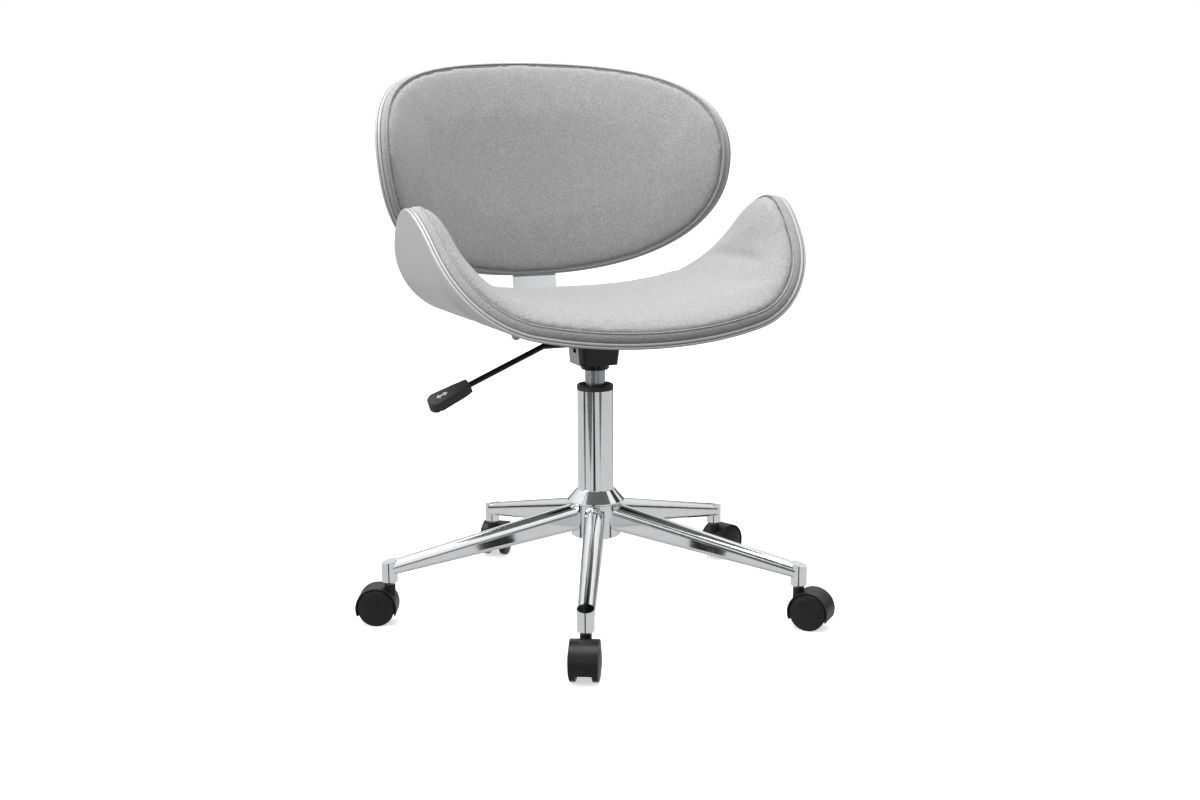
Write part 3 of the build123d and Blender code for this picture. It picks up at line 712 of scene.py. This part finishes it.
class ChairSizes(bpy.types.PropertyGroup):
    """All the chair's settings under one name."""

    seat: bpy.props.PointerProperty(type=ChairSeat, name="Seat", description="Seat form")
    back: bpy.props.PointerProperty(type=ChairBack, name="Back", description="Back form")
    panels: bpy.props.PointerProperty(type=ChairPanels, name="Panels", description="Shells and pads")
    lever: bpy.props.PointerProperty(type=ChairLever, name="Lever", description="Height lever")
    colours: bpy.props.PointerProperty(type=ChairColours, name="Colours", description="Finishes")
    studio: bpy.props.PointerProperty(type=ChairStudio, name="Studio", description="Camera and light")


class CHAIR_OT_stage(bpy.types.Operator):
    """Set up the floor, the lights and the camera"""

    bl_idname = "chair.stage"
    bl_label = "Studio"

    def execute(self, context):
        studio = settings().studio
        make_materials(settings().colours)
        make_floor()
        make_world(studio.fill)
        softbox("softbox_top", (-0.2, 0.1, 2.7), (0, 0.05, 0.4), (2.6, 1.8), studio.key)
        softbox("softbox_side", (-2.5, -0.2, 1.0), (0, 0, 0.45), (1.2, 1.6), studio.side)
        make_flags(studio)
        make_camera(studio)
        return {"FINISHED"}


class CHAIR_OT_base(bpy.types.Operator):
    """Finish the star base, the column and the gas lift"""

    bl_idname = "chair.base"
    bl_label = "Base and column"

    def execute(self, context):
        legs = [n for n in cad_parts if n.startswith("leg_")]
        finish_nodes("chrome", "base_hub", "column_tube", *legs)
        finish_nodes("zinc", "castor_stems", "piston_rod", "retaining_clip", "bearing_washers",
                     "thrust_bearing", "valve_pin")
        finish_nodes("abs", "column_collar", "stem_sleeves", "guide_bush")
        finish_nodes("ground", "gas_cylinder", "piston_head", "valve_block")
        finish_nodes("rubber", "stop_buffer", "rod_seal")
        return {"FINISHED"}


class CHAIR_OT_castors(bpy.types.Operator):
    """Finish the castors"""

    bl_idname = "chair.castors"
    bl_label = "Castors"

    def execute(self, context):
        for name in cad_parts:
            if name.startswith(("wheel_", "castor_hood_")):
                finish_nodes("nylon", name)
            if name.startswith("castor_axle_"):
                finish_nodes("zinc", name)
        return {"FINISHED"}


class CHAIR_OT_mechanism(bpy.types.Operator):
    """Finish the mechanism, the lever and the fasteners, and print the paddle"""

    bl_idname = "chair.mechanism"
    bl_label = "Mechanism and lever"

    def execute(self, context):
        finish_nodes("enamel", "mechanism_pan", "taper_cone", "seat_plate", "lever_rod")
        finish_nodes("zinc", "lever_guide", "lever_pin", "seat_bolts", "seat_tee_nuts", "back_bolts",
                     "back_tee_nuts", "pad_screws")
        finish_nodes("chrome", "back_bar")
        finish_nodes("abs", "lever_paddle")
        finish_nodes("rubber", "seat_spacers")
        make_print(settings().lever)
        return {"FINISHED"}


class CHAIR_OT_shells(bpy.types.Operator):
    """Make the seat's and the back's ply shells"""

    bl_idname = "chair.shells"
    bl_label = "Ply shells"

    def execute(self, context):
        sizes = settings()
        for node, form in (("seat_shell", SeatForm(sizes.seat)), ("back_shell", BackForm(sizes.back))):
            shell = make_shell(node + "_ply", form, sizes.panels)
            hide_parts(node)
            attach(shell, "seat")
        return {"FINISHED"}


class CHAIR_OT_pads(bpy.types.Operator):
    """Make the upholstered pads: cushion, boxing band and welt"""

    bl_idname = "chair.pads"
    bl_label = "Pads"

    def execute(self, context):
        all_sizes = settings()
        pads = (("seat_pad", SeatForm(all_sizes.seat), all_sizes.seat),
                ("back_pad", BackForm(all_sizes.back), all_sizes.back))
        for node, form, sizes in pads:
            cushion = make_cushion(node + "_cushion", form, sizes, all_sizes.panels)
            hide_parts(node)
            band = make_band(node + "_band", form, sizes, all_sizes.panels)
            welt = make_welt(node + "_welt", form, sizes, all_sizes.panels)
            for piece in (cushion, band, welt):
                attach(piece, "seat")
        return {"FINISHED"}


# --- small pieces and the studio ---

def make_print(lever):
    """A generic up-and-down arrow printed on the paddle's top face."""
    tip_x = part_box("lever_paddle")[0].x
    slope = Matrix.Rotation(-lever.slope, 4, "Y")
    size = lever.print_size
    gap, thickness = 0.00006, 0.00012
    arrow = [(0.5, 0), (0.2, 0.24), (0.2, 0.08), (-0.2, 0.08), (-0.2, 0.24), (-0.5, 0),
             (-0.2, -0.24), (-0.2, -0.08), (0.2, -0.08), (0.2, -0.24)]
    roll = Matrix.Rotation(lever.roll, 4, "X")
    tip = Matrix.Translation((tip_x, 0, axis_height(tip_x, lever.slope)))
    place = tip @ slope @ roll @ Matrix.Translation((lever.print_back, 0, lever.face + gap))

    def build(bm):
        verts = [bm.verts.new(place @ Vector((x * size, y * size, 0))) for x, y in arrow]
        face = bm.faces.new(verts)
        lifted = bmesh.ops.extrude_face_region(bm, geom=[face])["geom"]
        rise = (place.to_3x3() @ Vector((0, 0, 1))) * thickness
        bmesh.ops.translate(bm, vec=rise, verts=[v for v in lifted if isinstance(v, bmesh.types.BMVert)])

    ink = mesh_object("paddle_print", build)
    for face in ink.data.polygons:
        face.use_smooth = False
    ink.data.materials.append(MATERIALS["ink"])
    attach(ink, "lever")


def axis_height(x, slope):
    """Height of the lever's sloping axis above a place along X, from the rod's lowest end."""
    low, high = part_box("lever_rod")
    radius = (high.y - low.y) / 2
    end_x, end_z = low.x + radius * sin(slope), low.z + radius * cos(slope)
    return end_z + (x - end_x) * sin(slope) / cos(slope)


def make_floor():
    """A wide round floor."""
    def build(bm):
        bmesh.ops.create_circle(bm, cap_ends=True, radius=40, segments=96)

    floor = mesh_object("studio_floor", build)
    floor.data.materials.append(MATERIALS["floor"])
    floor.visible_glossy = floor.visible_diffuse = False


def make_world(fill):
    """A room for the chrome to mirror, a soft light from above for the rest, white where seen."""
    world = bpy.data.worlds.new("studio_room")
    bpy.context.scene.world = world
    world.use_nodes = True
    tree = world.node_tree
    tree.nodes.clear()
    heading = add_node(tree, "ShaderNodeTexCoord").outputs["Generated"]
    rise = add_node(tree, "ShaderNodeSeparateXYZ", {"Vector": heading}).outputs["Z"]
    level = remap(tree, rise, 0.0, 1.0, -1.0, 1.0)
    walls = shades(tree, level, (0.0, "#B9B9B9"), (0.38, "#D2D2D2"), (0.46, "#BEBEBE"), (0.49, "#303030"),
                   (0.54, "#484848"), (0.60, "#D9D9D9"), (0.8, "#FFFFFF"))
    patches = noise(tree, heading, 0.42, 0.0, (1, 1, 0.5))
    openings = shades(tree, patches, (0.60, "#FFFFFF"), (0.64, "#3C3C3C"))
    mirrored = add_node(tree, "ShaderNodeMix", data_type="RGBA", blend_type="MULTIPLY")
    mirrored.inputs["Factor"].default_value = 1.0
    tree.links.new(walls, mirrored.inputs["A"])
    tree.links.new(openings, mirrored.inputs["B"])
    glow = shades(tree, level, (0.0, "#848484"), (0.45, "#787878"), (0.6, "#A0A0A0"), (1.0, "#FFFFFF"))
    rays = add_node(tree, "ShaderNodeLightPath").outputs
    lighting = add_node(tree, "ShaderNodeBackground", {"Color": glow}, {"Strength": fill * 2})
    room = add_node(tree, "ShaderNodeBackground", {"Color": mirrored.outputs["Result"]},
                    {"Strength": fill * 2})
    behind = add_node(tree, "ShaderNodeBackground", values={"Color": (1, 1, 1, 1), "Strength": 1.0})
    unseen = add_node(tree, "ShaderNodeMixShader", {
        "Fac": rays["Is Glossy Ray"], 1: lighting.outputs["Background"], 2: room.outputs["Background"]})
    whole = add_node(tree, "ShaderNodeMixShader", {
        "Fac": rays["Is Camera Ray"], 1: unseen.outputs["Shader"], 2: behind.outputs["Background"]})
    add_node(tree, "ShaderNodeOutputWorld", {"Surface": whole.outputs["Shader"]})


def aimed(place, aim):
    """The turn that points -Z from a place to an aim."""
    return (Vector(aim) - Vector(place)).to_track_quat("-Z", "Y")


def softbox(name, place, aim, size, power):
    light = bpy.data.lights.new(name, "AREA")
    light.shape = "RECTANGLE"
    light.size, light.size_y = size
    light.energy = power
    made = bpy.data.objects.new(name, light)
    made.rotation_mode = "QUATERNION"
    made.location, made.rotation_quaternion = place, aimed(place, aim)
    bpy.context.scene.collection.objects.link(made)
    return made


def make_flags(studio):
    """Dark pennants that only reflections see, to draw tapering dark lines down the chrome."""
    card = bpy.data.materials.new("grey_card")
    card.use_nodes = True
    shader = card.node_tree.nodes["Principled BSDF"]
    shader.inputs["Base Color"].default_value = linear("#0A0A0A")
    shader.inputs["Specular IOR Level"].default_value = 0.0
    shader.inputs["Emission Color"].default_value = (1, 1, 1, 1)
    shader.inputs["Emission Strength"].default_value = 0.13
    away, top, shoulder, point = 3.0, 0.9, -0.24, -0.52
    # turn from the camera's left, width, and how far the point leans to the outer side
    pennants = ((36, 2.4, 0.3), (-34, 0.9, 0.5), (78, 0.3, 0.0), (-150, 1.2, 0.0))
    for index, (turn, width, lean) in enumerate(pennants):
        heading = radians(turn) + studio.turn
        centre = Vector((-sin(heading) * away, -cos(heading) * away, 0))
        side = Vector((cos(heading), -sin(heading), 0)) * copysign(width / 2, turn)
        up = Vector((0, 0, 1))

        def build(bm):
            corners = (centre - side + up * shoulder, centre + side * lean + up * point,
                       centre + side + up * shoulder, centre + side * 1.15 + up * top,
                       centre - side * 1.15 + up * top)
            bm.faces.new([bm.verts.new(c) for c in corners])

        flag = mesh_object(f"flag_{index + 1}", build)
        flag.data.materials.append(card)
        flag.visible_camera = flag.visible_diffuse = flag.visible_shadow = flag.visible_transmission = False


def make_camera(studio):
    """The camera, aimed near the column's top."""
    data = bpy.data.cameras.new("camera")
    data.lens, data.sensor_width = studio.lens, 36
    camera = bpy.data.objects.new("camera", data)
    turned = Euler((pi / 2 - studio.height, 0, -studio.turn)).to_matrix()
    camera.rotation_euler = (turned @ Matrix.Rotation(studio.roll, 3, "Z")).to_euler()
    camera.location = Vector(studio.aim) + turned @ Vector((0, 0, studio.distance))
    bpy.context.scene.collection.objects.link(camera)
    bpy.context.scene.camera = camera
    bpy.context.scene.view_settings.view_transform = "Standard"


class CHAIR_PT_panel(bpy.types.Panel):
    """Lists the chair's pieces in the sidebar"""

    bl_label = "Swivel desk chair"
    bl_idname = "CHAIR_PT_panel"
    bl_space_type = "VIEW_3D"
    bl_region_type = "UI"
    bl_category = "Chair"

    def draw(self, context):
        for operator in OPERATORS:
            self.layout.operator(operator.bl_idname)


GROUPS = (ChairSeat, ChairBack, ChairPanels, ChairLever, ChairColours, ChairStudio, ChairSizes)
OPERATORS = (CHAIR_OT_stage, CHAIR_OT_base, CHAIR_OT_castors, CHAIR_OT_mechanism, CHAIR_OT_shells,
             CHAIR_OT_pads)
CLASSES = GROUPS + OPERATORS + (CHAIR_PT_panel,)


def register():
    for each in CLASSES:
        bpy.utils.register_class(each)
    bpy.types.Scene.chair_sizes = bpy.props.PointerProperty(type=ChairSizes)


def unregister():
    del bpy.types.Scene.chair_sizes
    for each in reversed(CLASSES):
        bpy.utils.unregister_class(each)


def main():
    register()
    bpy.ops.chair.stage()
    bpy.ops.chair.base()
    bpy.ops.chair.castors()
    bpy.ops.chair.mechanism()
    bpy.ops.chair.shells()
    bpy.ops.chair.pads()


if __name__ == "__main__":
    main()
